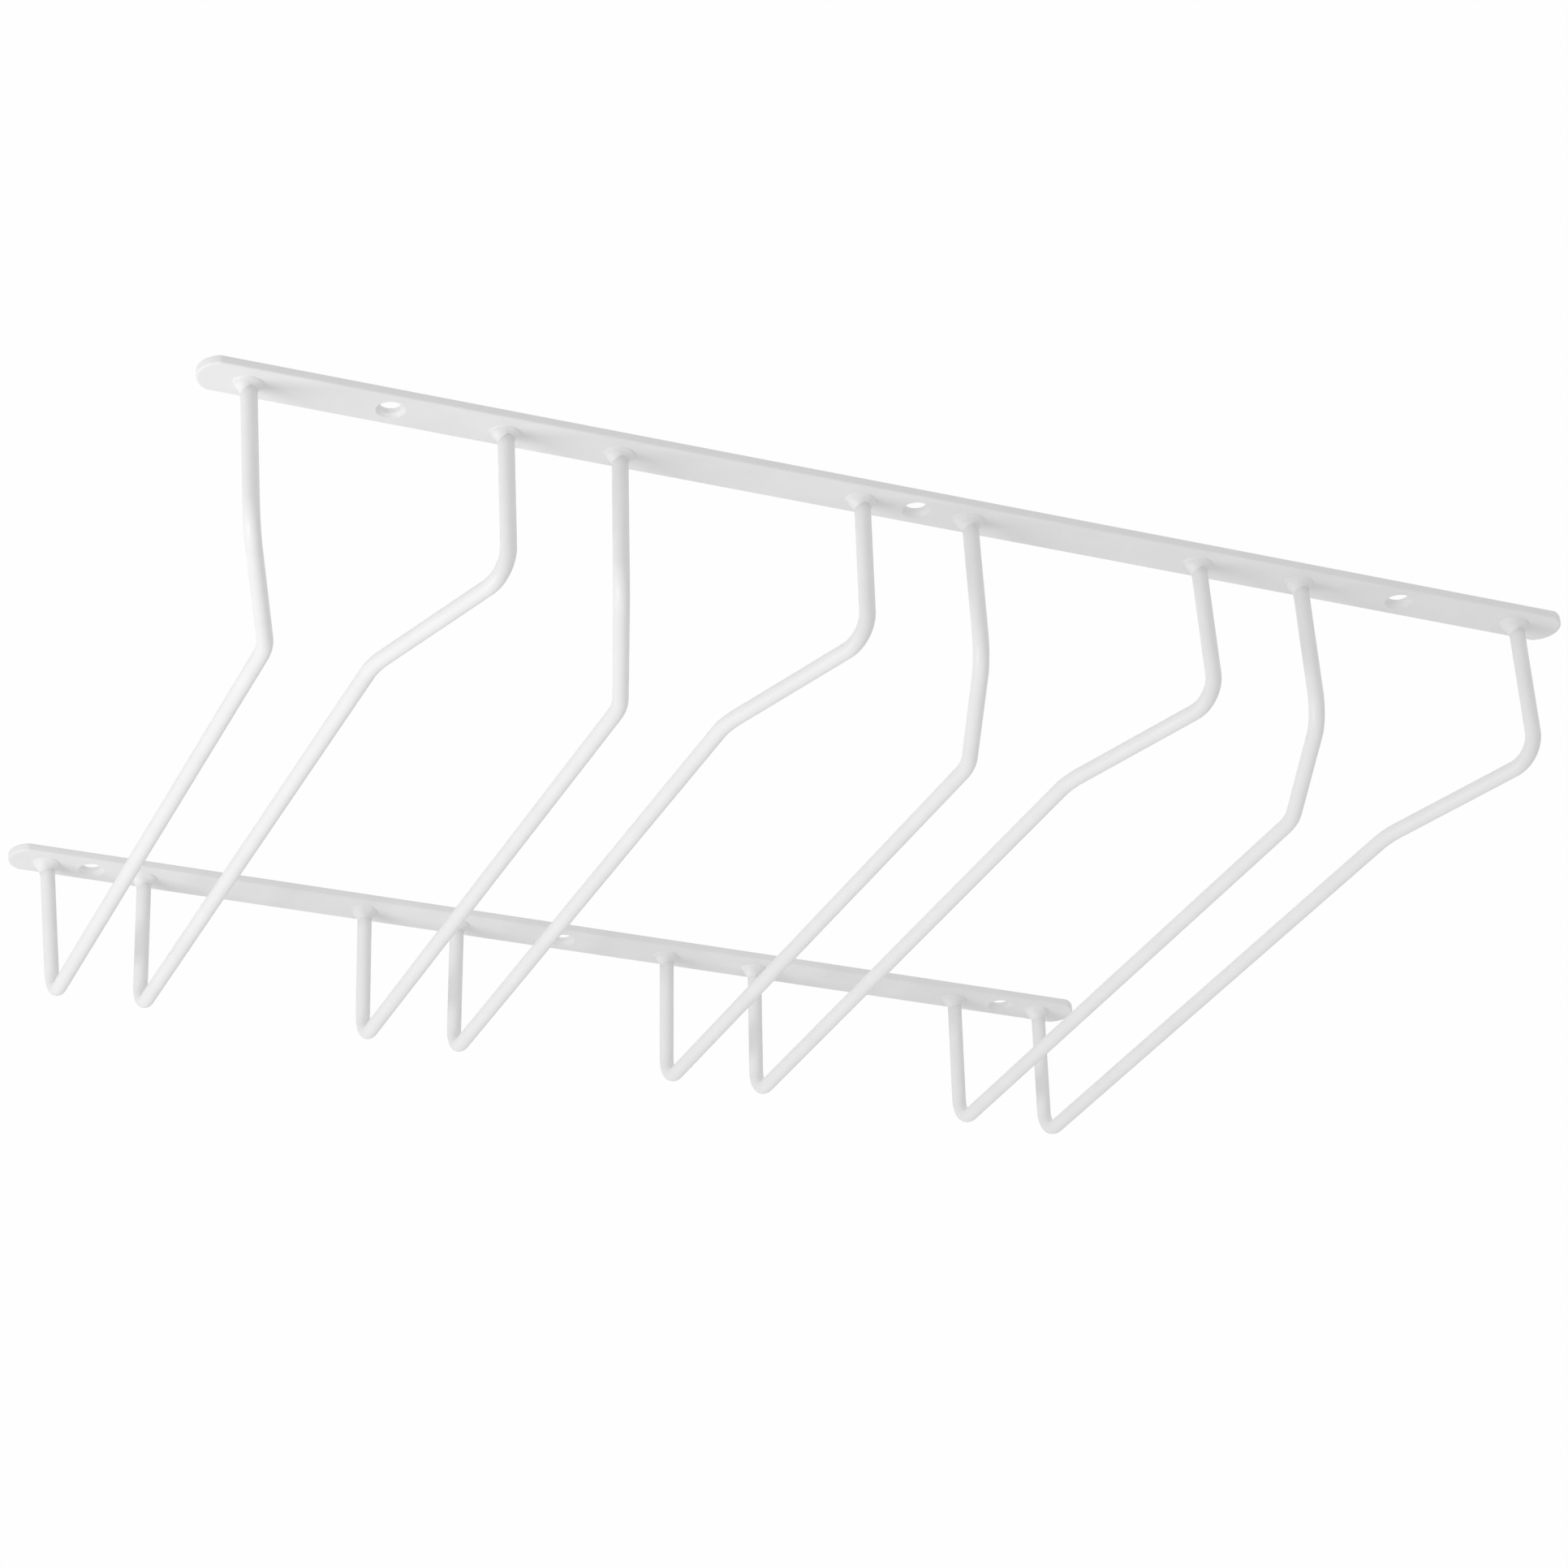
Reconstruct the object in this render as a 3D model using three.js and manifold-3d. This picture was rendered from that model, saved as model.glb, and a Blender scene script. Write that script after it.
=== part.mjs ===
// Hanging rack for stemmed glasses: two flat bars with four pairs of bent wires welded under them.
// Millimetres, +Z up. The origin is the centre of the mounting plane, in which the bars' top
// faces lie. +X runs along the bars and +Y from the open front to the closed rear.

import * as THREE from 'three';
import { mergeVertices } from 'three/addons/utils/BufferGeometryUtils.js';
import Module from 'manifold-3d';

const wasm = await Module();
wasm.setup();

// Lanes: a lane is one pair of wires, wide apart at the front and narrow behind the flare
const laneCount = 4;
const lanePitch = 110;
const mouthSpacing = 75.5;
const stemSpacing = 33;

// Bars: an overhang is what stands out past the centre line of the outermost wire
const barSpacing = 297.5;
const barWidth = 14.5;
const barThickness = 2.8;
const barEndBulge = 4.8;
const barEdgeRadius = 0.6;
const frontBarOverhang = 14.9;
const rearBarOverhang = 12.9;

// Screw holes: one at the middle of each bar and one near each end, countersunk from below.
// An inset is from the bar's end to the centre of the hole near it.
const holeDiameter = 6.2;
const countersinkDiameter = 8.4;
const frontHoleInset = 56.15;
const rearHoleInset = 27.9;

// Wires: depths are of the wire's centre line below the mounting plane
const wireDiameter = 4.8;
const frontBendDepth = 50.5;
const flareBendDepth = 53;
const rearBendDepth = 50.5;
const flareReach = 54.5;
const dropSplay = 2;
const dropBendRadius = 9;
const flareBendRadius = 28;

// Welds: upset metal that swells from the wire to the bar, longer along the bar than across it
const weldHeight = 4;
const weldLength = 9;
const weldWidth = 6.6;

// How far a cutting solid runs past the face that it opens
const cutOverrun = 1;

// Facets
const wireSides = 12;
const dropBendSteps = 6;
const flareBendSteps = 3;
const barEndSteps = 12;
const barEdgeSteps = 2;
const holeSides = 24;
const weldSides = 16;
const weldSteps = 5;

// Finish
const coatColour = 0xe8e8e6;
const coatRoughness = 0.45;

const frontBarY = -barSpacing / 2;
const rearBarY = barSpacing / 2;
const outerLaneX = lanePitch * (laneCount - 1) / 2;
const frontBarEnd = outerLaneX + mouthSpacing / 2 + frontBarOverhang;
const rearBarEnd = outerLaneX + stemSpacing / 2 + rearBarOverhang;
const undersideZ = -barThickness;
const wireTopZ = undersideZ - weldHeight;

function coatedMesh(name, geometry) {
  const coat = new THREE.MeshStandardMaterial({
    color: coatColour,
    roughness: coatRoughness,
    metalness: 0,
  });
  const mesh = new THREE.Mesh(geometry, coat);
  mesh.name = name;
  return mesh;
}

// Booleans work on a closed mesh that shares its vertices
function toSolid(geometry) {
  const bare = geometry.clone();
  bare.deleteAttribute('normal');
  bare.deleteAttribute('uv');
  const merged = mergeVertices(bare);
  return new wasm.Manifold(new wasm.Mesh({
    numProp: 3,
    vertProperties: new Float32Array(merged.attributes.position.array),
    triVerts: new Uint32Array(merged.index.array),
  }));
}

function toGeometry(solid) {
  const { vertProperties, triVerts } = solid.getMesh();
  const geometry = new THREE.BufferGeometry();
  geometry.setAttribute('position', new THREE.BufferAttribute(vertProperties, 3));
  geometry.setIndex(new THREE.BufferAttribute(triVerts, 1));
  geometry.computeVertexNormals();
  return geometry;
}

// A solid of revolution about Z through (radius, height) points that start and end on the axis
function turned(profile, sides) {
  const points = profile.map(([radius, height]) => new THREE.Vector2(radius, height));
  return new THREE.LatheGeometry(points, sides).rotateX(Math.PI / 2);
}

// Bars

// A strip whose ends are shallow arcs that stand out by the bulge between two soft corners
function barOutline(barEnd) {
  const halfWidth = barWidth / 2;
  const endRadius = (halfWidth ** 2 + barEndBulge ** 2) / (2 * barEndBulge);
  const halfAngle = Math.asin(halfWidth / endRadius);
  const arcCentre = barEnd - endRadius;
  const outline = new THREE.Shape();
  outline.absarc(arcCentre, 0, endRadius, -halfAngle, halfAngle);
  outline.absarc(-arcCentre, 0, endRadius, Math.PI - halfAngle, Math.PI + halfAngle);
  return outline;
}

// The countersink is a right-angled cone that narrows upwards to the screw's hole
function holeCutter() {
  const holeRadius = holeDiameter / 2;
  const countersinkRadius = countersinkDiameter / 2;
  const countersinkDepth = countersinkRadius - holeRadius;
  const lowest = undersideZ - cutOverrun;
  return turned([
    [0, lowest],
    [countersinkRadius + cutOverrun, lowest],
    [holeRadius, undersideZ + countersinkDepth],
    [holeRadius, cutOverrun],
    [0, cutOverrun],
  ], holeSides);
}

function barGeometry(barEnd, holeInset) {
  const strip = new THREE.ExtrudeGeometry(barOutline(barEnd), {
    depth: barThickness - 2 * barEdgeRadius,
    curveSegments: barEndSteps,
    bevelThickness: barEdgeRadius,
    bevelSize: barEdgeRadius,
    bevelOffset: -barEdgeRadius,
    bevelSegments: barEdgeSteps,
  }).translate(0, 0, undersideZ + barEdgeRadius);
  let bar = toSolid(strip);
  for (const x of [holeInset - barEnd, 0, barEnd - holeInset]) {
    bar = bar.subtract(toSolid(holeCutter().translate(x, 0, 0)));
  }
  return toGeometry(bar);
}

// Wires

// A line through stations, each a point and the direction in which the wire passes it.
// Its steps fall on the stations, so that the bends take the facets and the straights none.
class BentLine extends THREE.Curve {
  constructor(stations) {
    super();
    this.stations = stations;
  }

  get steps() {
    return this.stations.length - 1;
  }

  getPointAt(share) {
    return this.stations[Math.round(share * this.steps)].point.clone();
  }

  getTangentAt(share) {
    return this.stations[Math.round(share * this.steps)].tangent.clone();
  }
}

// The stations of a round bend that replaces the sharp corner between two straights
function bendStations(before, corner, after, radius, steps) {
  const arriving = corner.clone().sub(before).normalize();
  const leaving = after.clone().sub(corner).normalize();
  const turn = arriving.angleTo(leaving);
  const axis = arriving.clone().cross(leaving).normalize();
  const start = corner.clone().addScaledVector(arriving, -radius * Math.tan(turn / 2));
  const centre = start.clone().addScaledVector(axis.clone().cross(arriving), radius);
  const stations = [];
  for (let step = 0; step <= steps; step += 1) {
    const angle = turn * step / steps;
    const arm = start.clone().sub(centre).applyAxisAngle(axis, angle);
    stations.push({
      point: centre.clone().add(arm),
      tangent: arriving.clone().applyAxisAngle(axis, angle),
    });
  }
  return stations;
}

// From the front weld down the drop, in along the flare, back along the stem lane, and up the
// rear drop to the rear weld. Both drops lean out by the splay. side is -1 left and 1 right.
function wireLine(side) {
  const mouthX = side * mouthSpacing / 2;
  const stemX = side * stemSpacing / 2;
  const frontTop = new THREE.Vector3(mouthX, frontBarY, wireTopZ);
  const frontBend = new THREE.Vector3(mouthX, frontBarY - dropSplay, -frontBendDepth);
  const flareBend = new THREE.Vector3(stemX, frontBarY + flareReach, -flareBendDepth);
  const rearBend = new THREE.Vector3(stemX, rearBarY + dropSplay, -rearBendDepth);
  const rearTop = new THREE.Vector3(stemX, rearBarY, wireTopZ);
  return new BentLine([
    { point: frontTop, tangent: new THREE.Vector3(0, 0, -1) },
    ...bendStations(frontTop, frontBend, flareBend, dropBendRadius, dropBendSteps),
    ...bendStations(frontBend, flareBend, rearBend, flareBendRadius, flareBendSteps),
    ...bendStations(flareBend, rearBend, rearTop, dropBendRadius, dropBendSteps),
    { point: rearTop, tangent: new THREE.Vector3(0, 0, 1) },
  ]);
}

function wireSection() {
  const points = [];
  for (let corner = 0; corner < wireSides; corner += 1) {
    const angle = 2 * Math.PI * corner / wireSides;
    const radius = wireDiameter / 2;
    points.push(new THREE.Vector2(radius * Math.cos(angle), radius * Math.sin(angle)));
  }
  return new THREE.Shape(points);
}

function wireGeometry(side) {
  const line = wireLine(side);
  return new THREE.ExtrudeGeometry(wireSection(), { steps: line.steps, extrudePath: line });
}

// Welds

// Half of the weld's size across, at a share of its height above the wire's end: it leaves the
// wire and meets the bar steeply, and swells out in between
function weldReach(fullSize, heightShare) {
  const swellShare = heightShare ** 2 * (3 - 2 * heightShare);
  return (wireDiameter + (fullSize - wireDiameter) * swellShare) / 2;
}

// Turned about the wire's axis and drawn out along the bar, with an oval foot flat on the bar's
// underside and a round, flat bottom on the wire's end
function weldGeometry() {
  const profile = [[0, 0]];
  for (let step = 0; step <= weldSteps; step += 1) {
    const heightShare = step / weldSteps;
    profile.push([weldReach(weldWidth, heightShare), weldHeight * heightShare]);
  }
  profile.push([0, weldHeight]);
  const geometry = turned(profile, weldSides);
  const place = geometry.attributes.position;
  for (let i = 0; i < place.count; i += 1) {
    const heightShare = place.getZ(i) / weldHeight;
    const stretch = weldReach(weldLength, heightShare) / weldReach(weldWidth, heightShare);
    place.setX(i, place.getX(i) * stretch);
  }
  geometry.computeVertexNormals();
  return geometry;
}

// Assembly

const rack = new THREE.Group();

const frontBar = coatedMesh('front_bar', barGeometry(frontBarEnd, frontHoleInset));
frontBar.position.y = frontBarY;
rack.add(frontBar);

const rearBar = coatedMesh('rear_bar', barGeometry(rearBarEnd, rearHoleInset));
rearBar.position.y = rearBarY;
rack.add(rearBar);

for (let lane = 1; lane <= laneCount; lane += 1) {
  const pair = new THREE.Group();
  pair.position.x = lanePitch * (lane - 1) - outerLaneX;
  for (const [sideName, side] of [['left', -1], ['right', 1]]) {
    pair.add(coatedMesh(`wire_${lane}_${sideName}`, wireGeometry(side)));
    const ends = [
      ['front', side * mouthSpacing / 2, frontBarY],
      ['rear', side * stemSpacing / 2, rearBarY],
    ];
    for (const [endName, x, y] of ends) {
      const weld = coatedMesh(`weld_${lane}_${sideName}_${endName}`, weldGeometry());
      weld.position.set(x, y, wireTopZ);
      pair.add(weld);
    }
  }
  rack.add(pair);
}

export default rack;
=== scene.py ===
# Looks of the hanging glass rack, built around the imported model. Metres, +Z up: the bars' top
# faces lie in z = 0, +X runs along the bars and +Y from the open front to the closed rear.
import math
import random

import bmesh
import bpy
from mathutils import Matrix, Vector, noise


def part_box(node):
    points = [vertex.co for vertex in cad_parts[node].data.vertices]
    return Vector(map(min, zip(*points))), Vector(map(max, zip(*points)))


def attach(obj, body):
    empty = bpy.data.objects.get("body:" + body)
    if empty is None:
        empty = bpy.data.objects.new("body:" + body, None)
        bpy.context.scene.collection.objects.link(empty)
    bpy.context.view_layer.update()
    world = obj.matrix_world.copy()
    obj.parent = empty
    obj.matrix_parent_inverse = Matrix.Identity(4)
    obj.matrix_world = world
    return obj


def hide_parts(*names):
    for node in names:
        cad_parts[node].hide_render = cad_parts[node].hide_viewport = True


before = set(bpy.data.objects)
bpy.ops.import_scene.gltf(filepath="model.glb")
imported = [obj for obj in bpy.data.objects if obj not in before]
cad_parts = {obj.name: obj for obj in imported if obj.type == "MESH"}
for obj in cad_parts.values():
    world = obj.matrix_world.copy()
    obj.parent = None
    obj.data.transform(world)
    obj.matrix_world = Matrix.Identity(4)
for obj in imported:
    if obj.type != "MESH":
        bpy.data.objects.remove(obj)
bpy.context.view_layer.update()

MM = 0.001
UP = Vector((0, 0, 1))
DOWN = -UP

# Sizes. The bars' and welds' places and outer sizes come from the imported model.
LANES = 4
WIRE_RADIUS = 2.4 * MM
FRONT_BEND_DEPTH = 50.5 * MM
FLARE_BEND_DEPTH = 53 * MM
REAR_BEND_DEPTH = 50.5 * MM
FLARE_REACH = 54.5 * MM
DROP_SPLAY = 2 * MM
DROP_BEND_RADIUS = 9 * MM
FLARE_BEND_RADIUS = 28 * MM

BAR_END_BULGE = 4.8 * MM
BAR_CORNER_RADIUS = 1.3 * MM
BAR_EDGE_RADIUS = 0.6 * MM
HOLE_RADIUS = 3.1 * MM
COUNTERSINK_RADIUS = 4.2 * MM
HOLE_RIM_RADIUS = 0.35 * MM
FRONT_HOLE_INSET = 56.15 * MM
REAR_HOLE_INSET = 27.9 * MM

# Facets. The edge band is a narrow strip of the flats beside each rounded edge, which keeps the
# smooth shading of the edge off the rest of the flat.
EDGE_BAND = 0.4 * MM
LONGEST_STEP = 6 * MM
SHORTEST_STEP = 0.04 * MM
WIRE_SIDES = 40
DROP_BEND_STEPS = 20
FLARE_BEND_STEPS = 10
ARC_STEPS = 6
BAR_END_STEPS = 28
HOLE_SIDES = 64
WELD_SIDES = 56
WELD_STEPS = 18
FILLET_STEPS = 5

BODY = "root"
SLOT = "white_powder_coat"


# Objects and meshes

def add_object(name, data):
    added = bpy.data.objects.new(name, data)
    bpy.context.scene.collection.objects.link(added)
    return added


def mesh_object(name, bm, material):
    bmesh.ops.recalc_face_normals(bm, faces=bm.faces)
    mesh = bpy.data.meshes.new(name)
    bm.to_mesh(mesh)
    bm.free()
    mesh.polygons.foreach_set("use_smooth", [True] * len(mesh.polygons))
    mesh.materials.append(material)
    return add_object(name, mesh)


def coated_piece(node, bm, material):
    """The visible piece that takes the place of a node of the model."""
    piece = mesh_object(f"{node}_coated", bm, material)
    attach(piece, BODY)
    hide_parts(node)


def box_centre(node):
    low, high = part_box(node)
    return (low + high) / 2


def corner_angles(sides):
    """The angles at which the corners of a regular ring stand."""
    return [2 * math.pi * i / sides for i in range(sides)]


def add_ring(bm, points):
    return [bm.verts.new(point) for point in points]


def join_rings(bm, lower, upper):
    """Quads between two closed rings that have as many vertices."""
    count = len(lower)
    for i in range(count):
        j = (i + 1) % count
        bm.faces.new((lower[i], lower[j], upper[j], upper[i]))


def close_stack(bm, rings):
    """Quads between each ring of a stack and the next, and a face over each end."""
    for lower, upper in zip(rings, rings[1:]):
        join_rings(bm, lower, upper)
    bm.faces.new(rings[0])
    bm.faces.new(rings[-1])


def ring_edges(bm, ring):
    """The edges of a closed ring whose faces are already there."""
    return [bm.edges.get((ring[i - 1], ring[i])) for i in range(len(ring))]


def stepped(line):
    """The same open line with points added on its long stretches, so that no face is a sliver."""
    full = [line[0]]
    for before, after in zip(line, line[1:]):
        steps = math.ceil((after - before).length / LONGEST_STEP)
        full += [before.lerp(after, step / steps) for step in range(1, steps + 1)]
    return full


def rounded(points, radius):
    """A polyline of 2-D points whose inner corners are replaced by arcs of the given radius."""
    points = [Vector(point) for point in points]
    line = [points[0]]
    for before, corner, after in zip(points, points[1:], points[2:]):
        arriving = (corner - before).normalized()
        leaving = (after - corner).normalized()
        turn = arriving.angle_signed(leaving)
        reach = radius * math.tan(abs(turn) / 2)
        start = corner - arriving * reach
        side = math.copysign(1, turn)
        inward = Vector((arriving.y, -arriving.x)) * side
        centre = start + inward * radius
        for step in range(ARC_STEPS + 1):
            arm = start - centre
            arm.rotate(Matrix.Rotation(-turn * step / ARC_STEPS, 2))
            line.append(centre + arm)
    line.append(points[-1])
    return line


# Bars

def bar_outline(half_length, half_width):
    """Points and outward normals round the bar: arcs at the ends, soft corners, straight sides."""
    end_radius = (half_width ** 2 + BAR_END_BULGE ** 2) / (2 * BAR_END_BULGE)
    end_centre = half_length - end_radius
    corner_y = half_width - BAR_CORNER_RADIUS
    corner_x = end_centre + math.sqrt((end_radius - BAR_CORNER_RADIUS) ** 2 - corner_y ** 2)
    meeting = math.atan2(corner_y, corner_x - end_centre)
    arcs = [
        ((corner_x, -corner_y), BAR_CORNER_RADIUS, -math.pi / 2, -meeting, ARC_STEPS),
        ((end_centre, 0), end_radius, -meeting, meeting, BAR_END_STEPS),
        ((corner_x, corner_y), BAR_CORNER_RADIUS, meeting, math.pi / 2, ARC_STEPS),
    ]
    right_end = []
    for centre, radius, first, last, steps in arcs:
        for step in range(steps + 1):
            angle = first + (last - first) * step / steps
            normal = Vector((math.cos(angle), math.sin(angle)))
            point = Vector(centre) + normal * radius
            if not right_end or (point - right_end[-1][0]).length > SHORTEST_STEP:
                right_end.append((point, normal))
    left_end = [(-point, -normal) for point, normal in right_end]
    outline = []
    for end, next_end in ((right_end, left_end), (left_end, right_end)):
        side = stepped([end[-1][0], next_end[0][0]])[1:-1]
        outline += end + [(point, end[-1][1]) for point in side]
    return outline


def edge_section(low_z, high_z):
    """(inset, z) down the bar's edge, from the flat top round to the flat underside."""
    corners = [(BAR_EDGE_RADIUS, high_z), (0, high_z), (0, low_z), (BAR_EDGE_RADIUS, low_z)]
    return rounded(corners, BAR_EDGE_RADIUS)


def hole_section(low_z, high_z):
    """(radius, z) through a hole, from the flat underside up the countersink to the flat top."""
    cone_top = low_z + COUNTERSINK_RADIUS - HOLE_RADIUS
    corners = [
        (COUNTERSINK_RADIUS + HOLE_RIM_RADIUS, low_z),
        (COUNTERSINK_RADIUS, low_z),
        (HOLE_RADIUS, cone_top),
        (HOLE_RADIUS, high_z),
        (HOLE_RADIUS + HOLE_RIM_RADIUS, high_z),
    ]
    return rounded(corners, HOLE_RIM_RADIUS)


def build_bar(node, hole_inset, material):
    low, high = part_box(node)
    centre = box_centre(node)
    half_length = (high.x - low.x) / 2
    half_width = (high.y - low.y) / 2
    outline = bar_outline(half_length, half_width)
    edge = edge_section(low.z, high.z)
    hole = hole_section(low.z, high.z)
    bm = bmesh.new()

    def outline_ring(inset, z):
        flat = [point - normal * inset for point, normal in outline]
        return add_ring(bm, [(centre.x + p.x, centre.y + p.y, z) for p in flat])

    def hole_ring(x, radius, z):
        return add_ring(bm, [
            (centre.x + x + radius * math.cos(angle), centre.y + radius * math.sin(angle), z)
            for angle in corner_angles(HOLE_SIDES)
        ])

    rings = [outline_ring(BAR_EDGE_RADIUS + EDGE_BAND, high.z)]
    rings += [outline_ring(inset, z) for inset, z in edge[1:-1]]
    rings.append(outline_ring(BAR_EDGE_RADIUS + EDGE_BAND, low.z))
    for upper, lower in zip(rings, rings[1:]):
        join_rings(bm, lower, upper)
    top_edges = ring_edges(bm, rings[0])
    bottom_edges = ring_edges(bm, rings[-1])

    for x in (hole_inset - half_length, 0, half_length - hole_inset):
        rings = [hole_ring(x, hole[1][0] + EDGE_BAND, low.z)]
        rings += [hole_ring(x, radius, z) for radius, z in hole[1:-1]]
        rings.append(hole_ring(x, hole[-2][0] + EDGE_BAND, high.z))
        for lower, upper in zip(rings, rings[1:]):
            join_rings(bm, lower, upper)
        bottom_edges += ring_edges(bm, rings[0])
        top_edges += ring_edges(bm, rings[-1])

    for edges, normal in ((top_edges, UP), (bottom_edges, DOWN)):
        bmesh.ops.triangle_fill(bm, use_beauty=True, edges=edges, normal=normal)
    coated_piece(node, bm, material)


# Wires

# How far aside each wire's front, flare and rear bends stand from their true places, in
# millimetres, from the left end on: no two wires are bent quite alike
WIRE_LEANS = (
    (1.0, 1.2, 4.2),
    (-0.3, 0.0, 0.4),
    (-1.4, -1.4, 0.1),
    (-1.3, -1.6, -0.8),
    (0.1, 0.4, -0.6),
    (0.8, 0.4, -0.2),
    (0.5, 0.3, 0.3),
    (0.0, 0.6, 0.5),
)


def bend(before, corner, after, radius, steps):
    """Points of a round bend that replaces the sharp corner between two straights."""
    arriving = (corner - before).normalized()
    leaving = (after - corner).normalized()
    turn = arriving.angle(leaving)
    axis = arriving.cross(leaving).normalized()
    start = corner - arriving * radius * math.tan(turn / 2)
    centre = start + axis.cross(arriving) * radius
    arm = start - centre
    return [centre + Matrix.Rotation(turn * i / steps, 3, axis) @ arm for i in range(steps + 1)]


def wire_line(mouth, stem, underside, leans):
    """The wire's centre line from the front bar's underside round to the rear bar's."""
    front_lean, flare_lean, rear_lean = (lean * MM for lean in leans)
    front_top = Vector((mouth.x, mouth.y, underside))
    front_bend = Vector((mouth.x + front_lean, mouth.y - DROP_SPLAY, -FRONT_BEND_DEPTH))
    flare_bend = Vector((stem.x + flare_lean, mouth.y + FLARE_REACH, -FLARE_BEND_DEPTH))
    rear_bend = Vector((stem.x + rear_lean, stem.y + DROP_SPLAY, -REAR_BEND_DEPTH))
    rear_top = Vector((stem.x, stem.y, underside))
    return stepped([
        front_top,
        *bend(front_top, front_bend, flare_bend, DROP_BEND_RADIUS, DROP_BEND_STEPS),
        *bend(front_bend, flare_bend, rear_bend, FLARE_BEND_RADIUS, FLARE_BEND_STEPS),
        *bend(flare_bend, rear_bend, rear_top, DROP_BEND_RADIUS, DROP_BEND_STEPS),
        rear_top,
    ])


def build_wire(node, line, material):
    """A round wire along its centre line, with rings that don't twist from one to the next."""
    bm = bmesh.new()
    rings = []
    across = Vector((1, 0, 0))
    for i, point in enumerate(line):
        behind = line[max(i - 1, 0)]
        ahead = line[min(i + 1, len(line) - 1)]
        tangent = (point - behind).normalized() + (ahead - point).normalized()
        tangent.normalize()
        across = (across - tangent * across.dot(tangent)).normalized()
        beside = tangent.cross(across)
        rings.append(add_ring(bm, [
            point + (across * math.cos(angle) + beside * math.sin(angle)) * WIRE_RADIUS
            for angle in corner_angles(WIRE_SIDES)
        ]))
    close_stack(bm, rings)
    coated_piece(node, bm, material)


# Welds

# Reach of each weld's left and right ear past the wire, in millimetres, and the height of the
# collar between them as a share of the weld's height, from the left end on
FRONT_WELDS = (
    (1.8, 2.0, 0.70),
    (1.9, 1.8, 0.68),
    (1.9, 2.0, 0.72),
    (2.4, 1.8, 0.72),
    (3.1, 2.6, 0.90),
    (2.2, 1.9, 0.85),
    (2.2, 1.8, 0.90),
    (2.7, 1.4, 0.90),
)
REAR_WELDS = (
    (2.1, 1.9, 0.70),
    (1.9, 1.5, 0.66),
    (1.9, 1.4, 0.80),
    (2.0, 1.7, 0.70),
    (1.8, 1.6, 0.80),
    (2.0, 1.6, 0.80),
    (2.0, 1.7, 0.90),
    (2.1, 1.1, 0.90),
)
# Height of the ears as shares of the weld's height: the metal ran furthest down the left of
# every wire
LEFT_HEIGHT_SHARE = 1
RIGHT_HEIGHT_SHARE = 0.7
# Where the left ear's taper ends and its lip starts, as shares of its height and of its reach
LIP_START_SHARE = 0.7
TAPER_TOP_SHARE = 0.86
LEFT_TAPER_POWER = 1.7
RIGHT_TAPER_POWER = 1.4
COLLAR_REACH = 1.3 * MM
COLLAR_SCATTER_SHARE = 0.2
COLLAR_POWER = 2.6
# How the collar passes into the ears round the wire
SIDE_POWER = 1.3
# Power of the weld's outline seen from below: 2 is an ellipse, and less is more pointed
FULLNESS_RANGE = (1.6, 2.0)
# How far the lowest ring is tucked into the wire, and the highest sunk into the bar
WELD_TUCK = 0.04 * MM
WELD_SINK = 0.01 * MM
WELD_FILLET = 0.5 * MM
COLLAR_FILLET_SHARE = 0.2
LUMP_SIZE = 2.6 * MM
LUMP_HEIGHT = 0.2 * MM
LUMP_INCREMENT = 1
LUMP_LACUNARITY = 2
LUMP_OCTAVES = 2


def ear_swell(share, right):
    """An ear's share of its full reach at a share of its height: a slope on the right, and on
    the left a long taper up from the wire that rounds off into an upright lip."""
    if right:
        return share ** RIGHT_TAPER_POWER
    if share < LIP_START_SHARE:
        return TAPER_TOP_SHARE * (share / LIP_START_SHARE) ** LEFT_TAPER_POWER
    turn = math.pi / 2 * (share - LIP_START_SHARE) / (1 - LIP_START_SHARE)
    return TAPER_TOP_SHARE + (1 - TAPER_TOP_SHARE) * math.sin(turn)


def collar_swell(share):
    """The same before and behind the wire, where the coat fills the corner with a hollow."""
    return share ** COLLAR_POWER


def mix(first, second, share):
    return first + (second - first) * share


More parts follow.
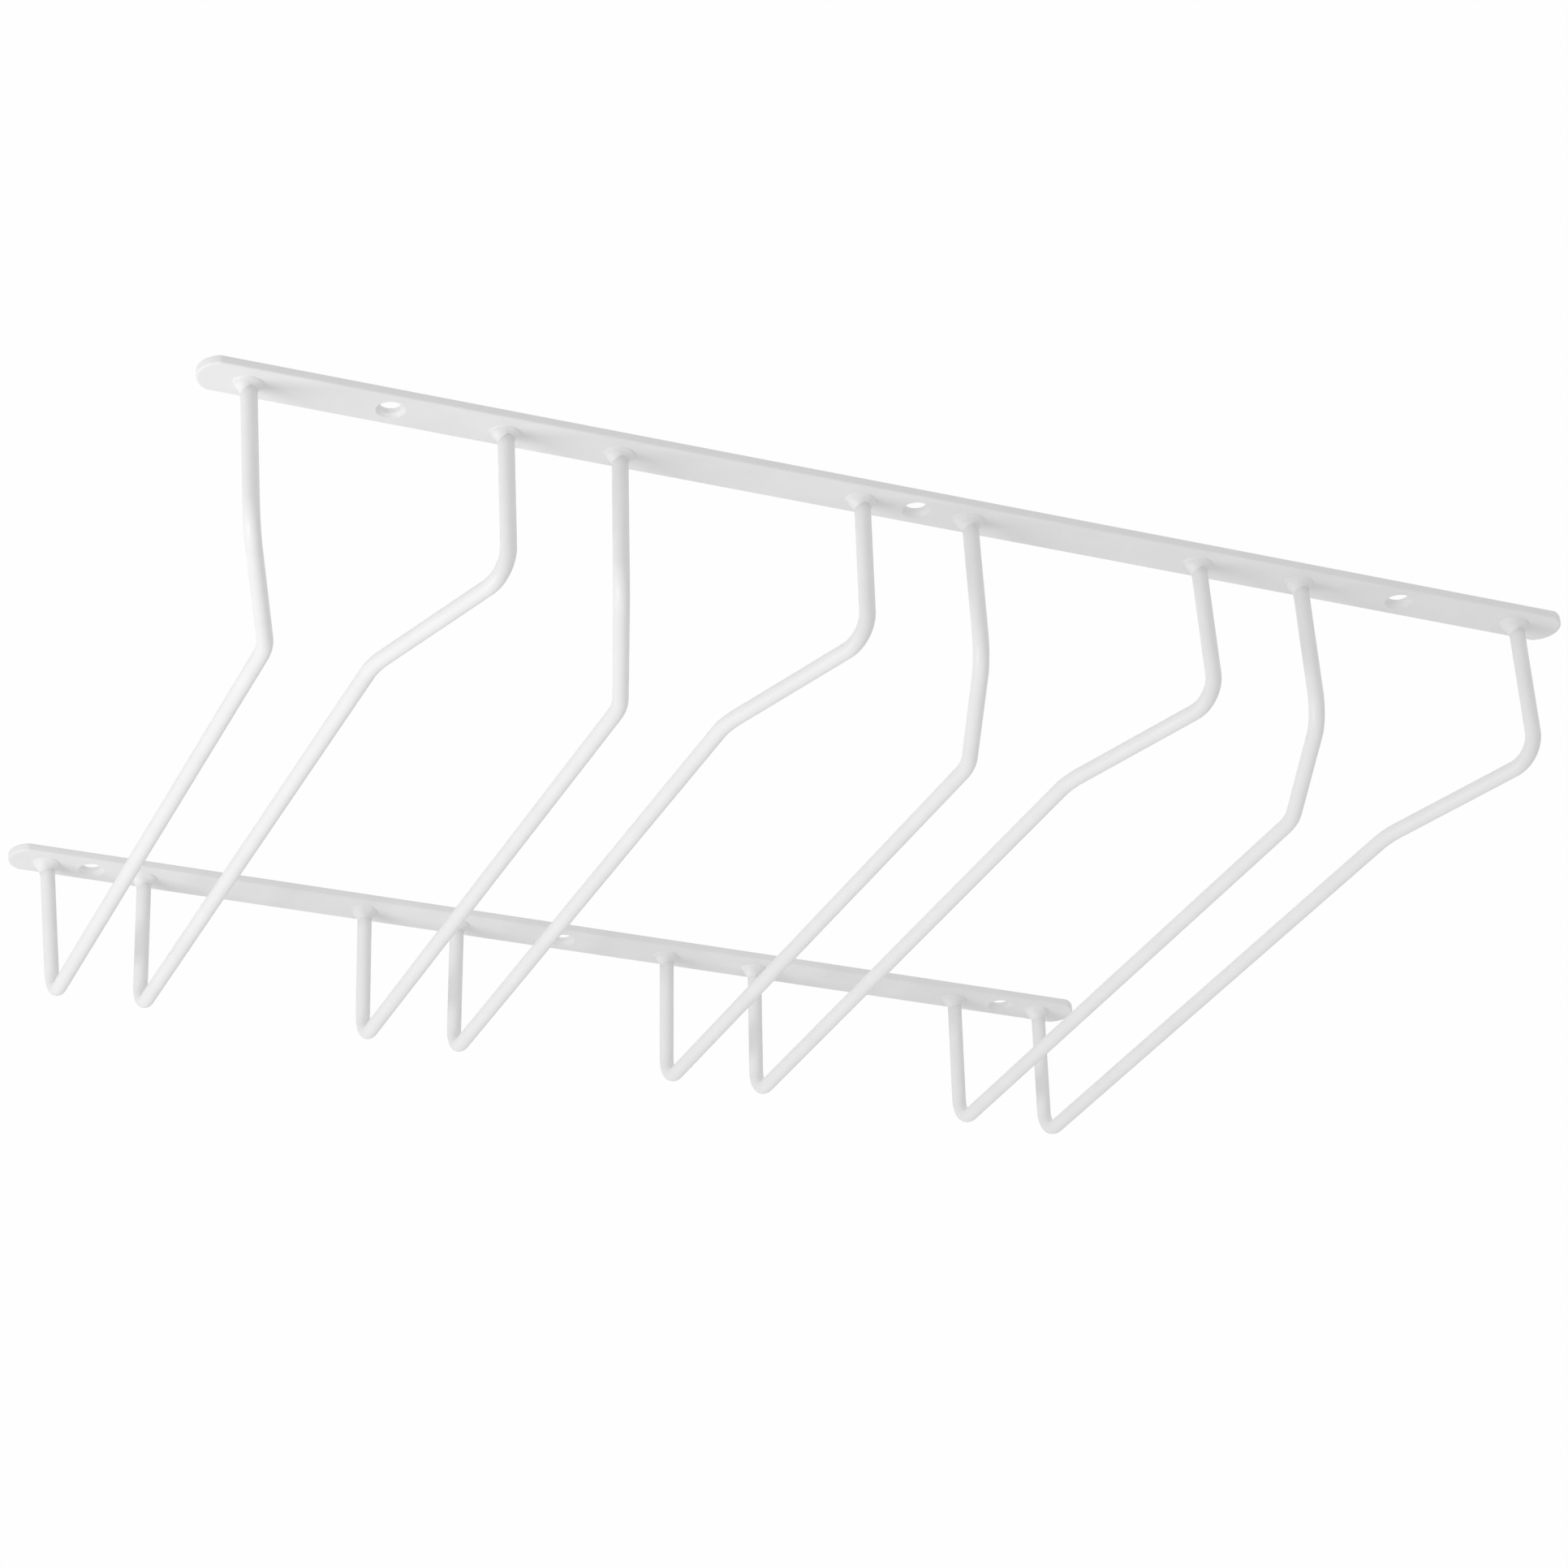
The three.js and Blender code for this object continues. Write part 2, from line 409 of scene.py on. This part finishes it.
def build_weld(node, shape, material):
    """Metal squeezed out where the wire's end is fused to the bar, with an ear on each side
    along the bar. The coat rounds off the corner between weld and bar."""
    *ears, collar_share = shape
    low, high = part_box(node)
    axis = box_centre(node)
    draw = random.Random(node)
    collars = [COLLAR_REACH * (1 + draw.uniform(-1, 1) * COLLAR_SCATTER_SHARE) for _ in range(2)]
    fullness = draw.uniform(*FULLNESS_RANGE)
    bm = bmesh.new()

    def weld_ring(share, turn, extra_spread=0):
        """A ring at a share of the way up to the lip's top, or a turn round the fillet above."""
        ring = []
        for angle in corner_angles(WELD_SIDES):
            out = Vector((math.cos(angle), math.sin(angle), 0))
            right = out.x > 0
            behind = out.y > 0
            along = WIRE_RADIUS + ears[right] * MM
            across = WIRE_RADIUS + collars[behind]
            outline = (abs(out.x) / along) ** fullness + (abs(out.y) / across) ** fullness
            reach = outline ** (-1 / fullness)
            side = abs(out.x) ** SIDE_POWER
            ear_share = RIGHT_HEIGHT_SHARE if right else LEFT_HEIGHT_SHARE
            fillet = WELD_FILLET * mix(COLLAR_FILLET_SHARE, 1, side)
            lip_top = high.z - fillet
            height = (lip_top - low.z) * mix(collar_share, ear_share, side)
            swell = mix(collar_swell(share), ear_swell(share, right), side)
            z = lip_top - (1 - share) * height + fillet * math.sin(turn)
            foot = axis + out * reach
            spot = Vector((foot.x, foot.y, z)) / LUMP_SIZE
            lump = noise.fractal(spot, LUMP_INCREMENT, LUMP_LACUNARITY, LUMP_OCTAVES)
            grown = (reach - WIRE_RADIUS + lump * LUMP_HEIGHT) * swell
            spread = fillet * (1 - math.cos(turn)) + extra_spread
            ring.append(Vector((axis.x, axis.y, z)) + out * (WIRE_RADIUS + grown + spread))
        return add_ring(bm, ring)

    rings = [weld_ring(0, 0, -WELD_TUCK)]
    for step in range(1, WELD_STEPS + 1):
        rings.append(weld_ring(step / WELD_STEPS, 0))
    for step in range(1, FILLET_STEPS + 1):
        rings.append(weld_ring(1, math.pi / 2 * step / FILLET_STEPS))
    rings.append(add_ring(bm, [vert.co + UP * WELD_SINK for vert in rings[-1]]))
    close_stack(bm, rings)
    coated_piece(node, bm, material)


# Finish

# The coat's tone and roughness drift between these
DARK_TONE = (0.80, 0.80, 0.80, 1)
LIGHT_TONE = (0.86, 0.86, 0.86, 1)
LEAST_ROUGHNESS = 0.36
MOST_ROUGHNESS = 0.46
COAT_IOR = 1.5
COAT_SPECULAR = 0.3
PEEL_STRENGTH = 1
PEEL_DISTANCE = 0.006 * MM
# Scale per metre and detail of the noise behind the tone, the roughness and the orange peel
TONE_GRAIN = (90, 3)
GLOSS_GRAIN = (300, 2)
PEEL_GRAIN = (900, 2)


def powder_coat():
    """Satin white powder coat: a fine orange peel, a faint drift in tone and gloss."""
    material = bpy.data.materials.new(SLOT)
    material.use_nodes = True
    nodes = material.node_tree.nodes
    links = material.node_tree.links
    shader = nodes["Principled BSDF"]
    shader.inputs["IOR"].default_value = COAT_IOR
    shader.inputs["Specular IOR Level"].default_value = COAT_SPECULAR
    place = nodes.new("ShaderNodeTexCoord")

    def grain(scale, detail):
        node = nodes.new("ShaderNodeTexNoise")
        node.inputs["Scale"].default_value = scale
        node.inputs["Detail"].default_value = detail
        links.new(place.outputs["Object"], node.inputs["Vector"])
        return node.outputs["Fac"]

    tone = nodes.new("ShaderNodeMix")
    tone.data_type = "RGBA"
    tone.inputs["A"].default_value = DARK_TONE
    tone.inputs["B"].default_value = LIGHT_TONE
    links.new(grain(*TONE_GRAIN), tone.inputs["Factor"])
    links.new(tone.outputs["Result"], shader.inputs["Base Color"])

    gloss = nodes.new("ShaderNodeMapRange")
    gloss.inputs["To Min"].default_value = LEAST_ROUGHNESS
    gloss.inputs["To Max"].default_value = MOST_ROUGHNESS
    links.new(grain(*GLOSS_GRAIN), gloss.inputs["Value"])
    links.new(gloss.outputs["Result"], shader.inputs["Roughness"])

    peel = nodes.new("ShaderNodeBump")
    peel.inputs["Strength"].default_value = PEEL_STRENGTH
    peel.inputs["Distance"].default_value = PEEL_DISTANCE
    links.new(grain(*PEEL_GRAIN), peel.inputs["Height"])
    links.new(peel.outputs["Normal"], shader.inputs["Normal"])
    return material


# Stage

BACKDROP_WHITE = (0.99, 0.99, 0.99, 1)
# The studio's strength in a direction is its level plus the slope times that direction
STUDIO_COLOUR = (1, 1, 1, 1)
STUDIO_LEVEL = 0.5
STUDIO_SLOPE = (0, -0.085, 0.412)
FLOOR_COLOUR = (0.9, 0.9, 0.9, 1)
FLOOR_DEPTH = 1.4
FLOOR_HALF = 12
FLOOR_FADE_START = 1.6
FLOOR_FADE_END = 4.0


def math_result(nodes, links, operation, first, second):
    """What a math node makes of two sockets."""
    node = nodes.new("ShaderNodeMath")
    node.operation = operation
    links.new(first, node.inputs[0])
    links.new(second, node.inputs[1])
    return node.outputs[0]


def seen_directly(nodes, links):
    """1 for what the camera sees, also by reflection or through glass, and 0 for the rest."""
    ray = nodes.new("ShaderNodeLightPath").outputs
    seen = math_result(nodes, links, "MAXIMUM", ray["Is Camera Ray"], ray["Is Glossy Ray"])
    return math_result(nodes, links, "MAXIMUM", seen, ray["Is Transmission Ray"])


def build_world():
    """A pale studio, brighter above than below. What is seen directly of it is white."""
    world = bpy.data.worlds.new("studio")
    bpy.context.scene.world = world
    world.use_nodes = True
    nodes = world.node_tree.nodes
    links = world.node_tree.links
    nodes.clear()
    out = nodes.new("ShaderNodeOutputWorld")
    blend = nodes.new("ShaderNodeMixShader")
    studio = nodes.new("ShaderNodeBackground")
    studio.inputs["Color"].default_value = STUDIO_COLOUR
    direction = nodes.new("ShaderNodeTexCoord")
    slope = nodes.new("ShaderNodeVectorMath")
    slope.operation = "DOT_PRODUCT"
    slope.inputs[1].default_value = STUDIO_SLOPE
    links.new(direction.outputs["Generated"], slope.inputs[0])
    level = nodes.new("ShaderNodeMath")
    level.operation = "ADD"
    level.inputs[1].default_value = STUDIO_LEVEL
    links.new(slope.outputs["Value"], level.inputs[0])
    links.new(level.outputs[0], studio.inputs["Strength"])
    white = nodes.new("ShaderNodeBackground")
    white.inputs["Color"].default_value = BACKDROP_WHITE
    links.new(seen_directly(nodes, links), blend.inputs[0])
    links.new(studio.outputs[0], blend.inputs[1])
    links.new(white.outputs[0], blend.inputs[2])
    links.new(blend.outputs[0], out.inputs["Surface"])


def build_floor():
    """A matt floor far below, which takes the rack's shadow. What is seen directly of it fades
    to white with the distance from its middle."""
    material = bpy.data.materials.new("pale_floor")
    material.use_nodes = True
    nodes = material.node_tree.nodes
    links = material.node_tree.links
    nodes.clear()
    out = nodes.new("ShaderNodeOutputMaterial")
    matt = nodes.new("ShaderNodeBsdfDiffuse")
    matt.inputs["Color"].default_value = FLOOR_COLOUR
    white = nodes.new("ShaderNodeEmission")
    white.inputs["Color"].default_value = BACKDROP_WHITE
    place = nodes.new("ShaderNodeTexCoord")
    length = nodes.new("ShaderNodeVectorMath")
    length.operation = "LENGTH"
    links.new(place.outputs["Object"], length.inputs[0])
    fade = nodes.new("ShaderNodeMapRange")
    fade.interpolation_type = "SMOOTHSTEP"
    fade.inputs["From Min"].default_value = FLOOR_FADE_START
    fade.inputs["From Max"].default_value = FLOOR_FADE_END
    links.new(length.outputs["Value"], fade.inputs["Value"])
    seen = seen_directly(nodes, links)
    blend = nodes.new("ShaderNodeMixShader")
    links.new(math_result(nodes, links, "MULTIPLY", fade.outputs["Result"], seen), blend.inputs[0])
    links.new(matt.outputs[0], blend.inputs[1])
    links.new(white.outputs[0], blend.inputs[2])
    links.new(blend.outputs[0], out.inputs["Surface"])
    bm = bmesh.new()
    bmesh.ops.create_grid(bm, x_segments=1, y_segments=1, size=FLOOR_HALF)
    floor = mesh_object("floor", bm, material)
    floor.location.z = -FLOOR_DEPTH


# The softbox stands low on the left
SOFTBOX_PLACE = Vector((-0.97, -0.2, -0.705))
SOFTBOX_AIM = Vector((0, -0.1, -0.03))
SOFTBOX_WIDTH = 0.6
SOFTBOX_HEIGHT = 0.3
SOFTBOX_WATTS = 5


def build_softbox():
    light = bpy.data.lights.new("softbox", "AREA")
    light.shape = "RECTANGLE"
    light.size = SOFTBOX_WIDTH
    light.size_y = SOFTBOX_HEIGHT
    light.energy = SOFTBOX_WATTS
    lamp = add_object("softbox", light)
    lamp.location = SOFTBOX_PLACE
    lamp.rotation_mode = "QUATERNION"
    lamp.rotation_quaternion = (SOFTBOX_AIM - SOFTBOX_PLACE).to_track_quat("-Z", "Y")


# The camera stands where the photograph was taken. Its lens and sensor are in millimetres.
CAMERA_PLACE = Vector((-0.5045, -1.1819, -0.7098))
CAMERA_AIM = Vector((0.0152, -0.0106, -0.0205))
CAMERA_ROLL = math.radians(-2.496)
CAMERA_LENS = 105.7
CAMERA_SENSOR = 36


def build_camera():
    data = bpy.data.cameras.new("camera")
    data.sensor_width = CAMERA_SENSOR
    data.lens = CAMERA_LENS
    camera = add_object("camera", data)
    camera.location = CAMERA_PLACE
    camera.rotation_mode = "QUATERNION"
    look = (CAMERA_AIM - CAMERA_PLACE).to_track_quat("-Z", "Y")
    roll = Matrix.Rotation(CAMERA_ROLL, 3, "Z").to_quaternion()
    camera.rotation_quaternion = look @ roll
    bpy.context.scene.camera = camera


# Assembly

def build_rack():
    coat = powder_coat()
    build_bar("front_bar", FRONT_HOLE_INSET, coat)
    build_bar("rear_bar", REAR_HOLE_INSET, coat)
    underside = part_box("front_bar")[0].z
    names = [f"{lane}_{side}" for lane in range(1, LANES + 1) for side in ("left", "right")]
    for name, leans, front_shape, rear_shape in zip(names, WIRE_LEANS, FRONT_WELDS, REAR_WELDS):
        front_weld = f"weld_{name}_front"
        rear_weld = f"weld_{name}_rear"
        build_weld(front_weld, front_shape, coat)
        build_weld(rear_weld, rear_shape, coat)
        line = wire_line(box_centre(front_weld), box_centre(rear_weld), underside, leans)
        build_wire(f"wire_{name}", line, coat)


bpy.context.scene.view_settings.view_transform = "Standard"
build_camera()
build_rack()
build_world()
build_floor()
build_softbox()
